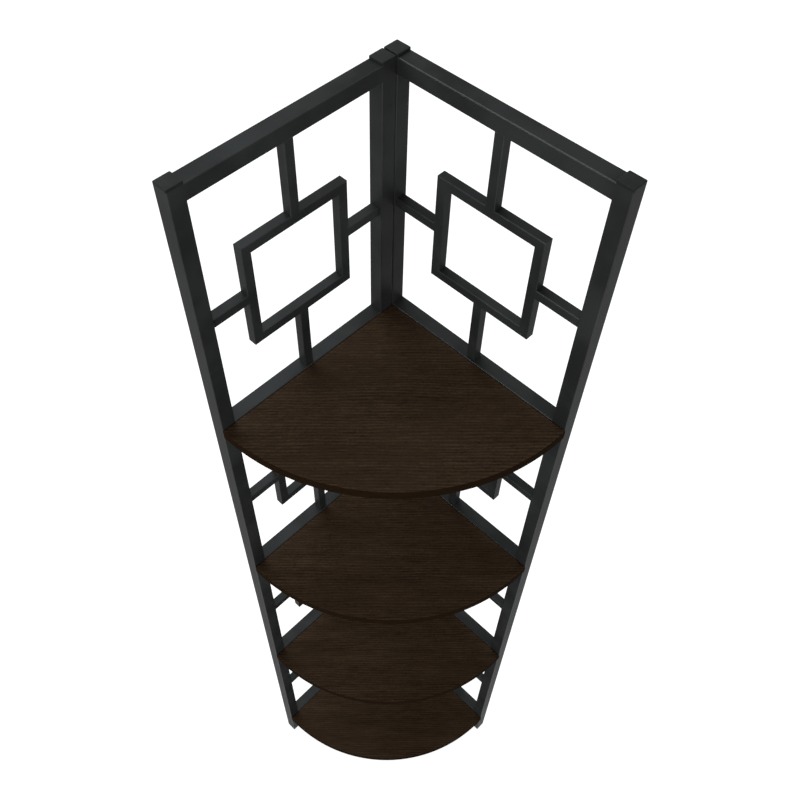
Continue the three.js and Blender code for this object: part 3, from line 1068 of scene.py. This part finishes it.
@dataclass
class ShelfScrew:
    """A pan head screw with a cross recess, up through a tab into a shelf.

    The shank is given by its radius, the thread by its pitch, the head by its height, the recess
    by its reach from the middle and the slot by the width of the recess's arms. The shares of the
    tip and the thread's roots are of the shank's radius, those of the dome are of the head's
    height and radius, and that of the floor is of the recess's mouth.
    """

    node: str
    shank: float = 1.75 * MILLIMETRE
    tip_share: float = 0.1
    root_share: float = 0.8
    thread: float = 1.3 * MILLIMETRE
    head: float = 2.3 * MILLIMETRE
    dome_rise: float = 0.7
    dome_share: float = 0.4
    recess: float = 1.7 * MILLIMETRE
    slot: float = 0.75 * MILLIMETRE
    recess_depth: float = 1.3 * MILLIMETRE
    floor_share: float = 0.6
    steps: int = 24

    def build(self) -> None:
        """Build the screw."""
        low, high = box(self.node)
        centre = (low + high) / 2
        radius = (high.x - low.x) / 2
        seat = low.z + self.head
        shoulder = high.z - 2 * self.thread
        across, down = self.dome_share * radius, -self.dome_rise * self.head
        profile = [
            (self.shank * self.tip_share, high.z),
            (self.shank, shoulder),
            *self.threads(seat, shoulder),
            (self.shank, seat),
            (radius, seat),
            *round_over(radius, low.z, across, down, steps=5),
        ]
        piece = Piece(self.node, ZINC)
        loops = piece.skin([self.ring(centre, size, height) for size, height in profile])
        piece.fill(loops[0])
        mouth_row = self.cross(centre, 1.0, low.z)
        floor_row = self.cross(centre, self.floor_share, low.z + self.recess_depth)
        mouth, floor = piece.skin([mouth_row, floor_row])
        piece.fill(floor)
        piece.fill(loops[-1], mouth)
        piece.done()

    def ring(self, centre: Vector, radius: float, height: float) -> Row:
        """Return a ring's points at a height."""
        return [Vector((x, y, height)) for x, y in circle(centre.x, centre.y, radius, self.steps)]

    def threads(self, bottom: float, top: float) -> list[Pair]:
        """Return the profile of the thread's crests and roots, from the top down.

        Args:
            bottom: The height that they stop over.
            top: The height that they start at.

        Returns:
            Pairs of a radius and a height.
        """
        rows = []
        for turn in range(1, int((top - bottom) / self.thread)):
            height = top - turn * self.thread
            rows.append((self.shank * self.root_share, height + self.thread / 4))
            rows.append((self.shank, height))
        return rows

    def cross(self, centre: Vector, share: float, height: float) -> Row:
        """Return the outline of the cross recess at a height.

        Args:
            centre: The screw's middle.
            share: How much of its full reach it has there.
            height: The height.

        Returns:
            The outline's points, anticlockwise.
        """
        reach = self.recess * share
        half = self.slot / 2 * share
        arm = ((reach, -half), (reach, half), (half, half))
        return [
            Vector((centre.x + x * cosine - y * sine, centre.y + x * sine + y * cosine, height))
            for cosine, sine in QUARTER_TURNS
            for x, y in arm
        ]


@dataclass
class HolePlug:
    """A round plug in a bolt's access hole, on the wall side of the right rear post.

    It is numbered from the top. The overlap is the width of the disc's rim, which lies on the
    post, and the flat face ends in a ring whose radius is a share of the disc's.
    """

    number: int
    radius: float = 5.4 * MILLIMETRE
    overlap: float = 1.2 * MILLIMETRE
    edge: float = 0.4 * MILLIMETRE
    face_share: float = 0.6
    steps: int = 32

    def build(self) -> None:
        """Build the plug."""
        node = f"bolt_hole_plug_{self.number}"
        low, high = box(node)
        profile = [
            (self.radius - self.overlap, low.y),
            (self.radius, low.y),
            *round_over(self.radius, high.y, self.edge, self.edge, steps=3),
            (self.radius * self.face_share, high.y),
        ]
        piece = Piece(node, PLASTIC)
        piece.loft([self.ring((low + high) / 2, radius, y) for radius, y in profile])
        piece.done()

    def ring(self, centre: Vector, radius: float, y: float) -> Row:
        """Return a ring's points, so far along Y."""
        return [Vector((x, y, z)) for x, z in circle(centre.x, centre.z, radius, self.steps)]


# The studio


@dataclass(frozen=True)
class Softbox:
    """An area lamp that is aimed at the middle of the unit.

    Its azimuth, round the unit, and its elevation are in degrees. An azimuth of 0 is at the -Y
    side and one of 90 at +X. Its radiance is how bright its face is, where white is 1.
    """

    name: str
    azimuth: float
    elevation: float
    distance: float
    width: float
    height: float
    radiance: float
    colour: Colour = WHITE

    def build(self, target: Vector) -> None:
        """Set up the lamp.

        Args:
            target: The point that it is aimed at.
        """
        azimuth, elevation = math.radians(self.azimuth), math.radians(self.elevation)
        flat = math.cos(elevation)
        direction = Vector(
            (flat * math.sin(azimuth), -flat * math.cos(azimuth), math.sin(elevation))
        )
        lamp = bpy.data.lights.new(self.name, "AREA")
        lamp.shape = "RECTANGLE"
        lamp.size = self.width
        lamp.size_y = self.height
        lamp.color = self.colour
        lamp.energy = math.pi * self.width * self.height * self.radiance
        made = bpy.data.objects.new(self.name, lamp)
        made.location = target + direction * self.distance
        made.rotation_euler = direction.to_track_quat("Z", "Y").to_euler()
        bpy.context.scene.collection.objects.link(made)
        log.info("%s: lamp of %.1f W", self.name, lamp.energy)


@dataclass
class Studio:
    """A white studio: a pale floor, an even sky, soft lamps, and the photograph's viewpoint.

    The sky is how strongly it lights the unit, where white is 1. The floor's glow is how much of
    its look, seen straight, is plain white of its own strength. The camera is turned from +Y
    towards -X and tilted down, in degrees. Its focal length is in millimetres on a 36 mm sensor,
    and its shift is a share of the picture's width.
    """

    sky: float = 0.355
    floor_size: float = 14.0
    floor_colour: Colour = (0.75, 0.75, 0.75)
    floor_glow: float = 0.68
    floor_white: float = 1.3
    lamps: tuple[Softbox, ...] = (
        Softbox("front_softbox", 36.0, 20.0, 5.2, 3.6, 3.6, 6.2),
        Softbox("strip_lamp", -30.0, 24.0, 3.0, 1.3, 0.3, 15.0),
        Softbox("rear_softbox", -102.0, 56.0, 9.0, 5.2, 7.6, 6.2, (0.92, 1.0, 1.0)),
    )
    camera_place: tuple[float, float, float] = (0.4330, -0.4627, 2.0795)
    camera_turn: float = 45.0
    camera_tilt: float = 53.82
    focal_length: float = 41.05
    shift: Pair = (0.0292, 0.0061)

    def build(self) -> None:
        """Set up the floor, the light and the camera."""
        self.build_sky()
        self.build_floor()
        low, high = (Vector(corner) for corner in CAD_BOUNDS)
        for lamp in self.lamps:
            lamp.build((low + high) / 2)
        self.build_camera()
        bpy.context.scene.view_settings.view_transform = "Standard"

    @staticmethod
    def rays(tree: ShaderTree) -> tuple[Signal, Signal]:
        """Tell the rays that show the background.

        Args:
            tree: The tree that asks.

        Returns:
            1 for the camera's own rays, and 1 for rays by way of gloss or glass.
        """
        path = tree.add("ShaderNodeLightPath")
        camera, glossy, through = (
            Signal(tree, path.outputs[name])
            for name in ("Is Camera Ray", "Is Glossy Ray", "Is Transmission Ray")
        )
        return camera, glossy.highest(through)

    def build_sky(self) -> None:
        """Make the world: white where it is seen, and dimmer as a light."""
        world = bpy.data.worlds.new("studio")
        bpy.context.scene.world = world
        world.use_nodes = True
        tree = ShaderTree(world.node_tree)
        camera, mirrored = self.rays(tree)
        light = tree.light("ShaderNodeBackground", self.sky)
        white = tree.light("ShaderNodeBackground", 1.0)
        sky = tree.blend(camera.highest(mirrored), light, white)
        tree.surface(sky, "ShaderNodeOutputWorld")

    def build_floor(self) -> None:
        """Make the floor, which keeps the unit's shadow."""
        material = bpy.data.materials.new("studio_floor")
        material.use_nodes = True
        tree = ShaderTree(material.node_tree)
        speck = tree.noise(tree.place(), Grain(1 / 90))
        colour = tree.mix(speck, shade(self.floor_colour, 0.985), self.floor_colour)
        paint = tree.signal("ShaderNodeBsdfDiffuse", 0, inputs={"Color": colour})
        camera, mirrored = self.rays(tree)
        glow = tree.light("ShaderNodeEmission", self.floor_white)
        seen = tree.blend(camera * self.floor_glow, paint, glow)
        tree.surface(tree.blend(mirrored, seen, tree.light("ShaderNodeEmission", 1.0)))
        half = self.floor_size / 2
        data = bpy.data.meshes.new("floor")
        corners = [(side * half, rise * half, 0) for side, rise in CORNERS]
        data.from_pydata(corners, [], [(0, 1, 2, 3)])
        data.materials.append(material)
        floor = bpy.data.objects.new("floor", data)
        bpy.context.scene.collection.objects.link(floor)

    def build_camera(self) -> None:
        """Set the camera at the photograph's viewpoint."""
        lens = bpy.data.cameras.new("camera")
        lens.sensor_width = 36.0
        lens.lens = self.focal_length
        lens.shift_x, lens.shift_y = self.shift
        lens.clip_start = 0.05
        camera = bpy.data.objects.new("camera", lens)
        camera.location = self.camera_place
        tilt, turn = math.radians(90 - self.camera_tilt), math.radians(self.camera_turn)
        camera.rotation_euler = Euler((tilt, 0.0, turn))
        bpy.context.scene.collection.objects.link(camera)
        bpy.context.scene.camera = camera
        log.info("camera: %.2f mm lens", self.focal_length)


def build_unit() -> None:
    """Build the whole unit round the frame, sub-assembly by sub-assembly."""
    for side in Side:
        SidePanel(side).build()
        for place in Place:
            for end in End:
                EndCap(f"{side.value}_{place.value}", end).build()
    for level in LEVELS:
        Shelf(level).build()
        for number in SCREWS:
            ShelfScrew(f"shelf_{level}_screw_{number}").build()
    for number in BOLTS:
        HolePlug(number).build()
        dress(ZINC, f"panel_bolt_{number}", f"panel_nut_{number}")


def main() -> None:
    """Build the studio and the unit."""
    logging.basicConfig(level=logging.INFO, format="%(name)s: %(message)s")
    Studio().build()
    build_unit()


if __name__ == "__main__":
    main()
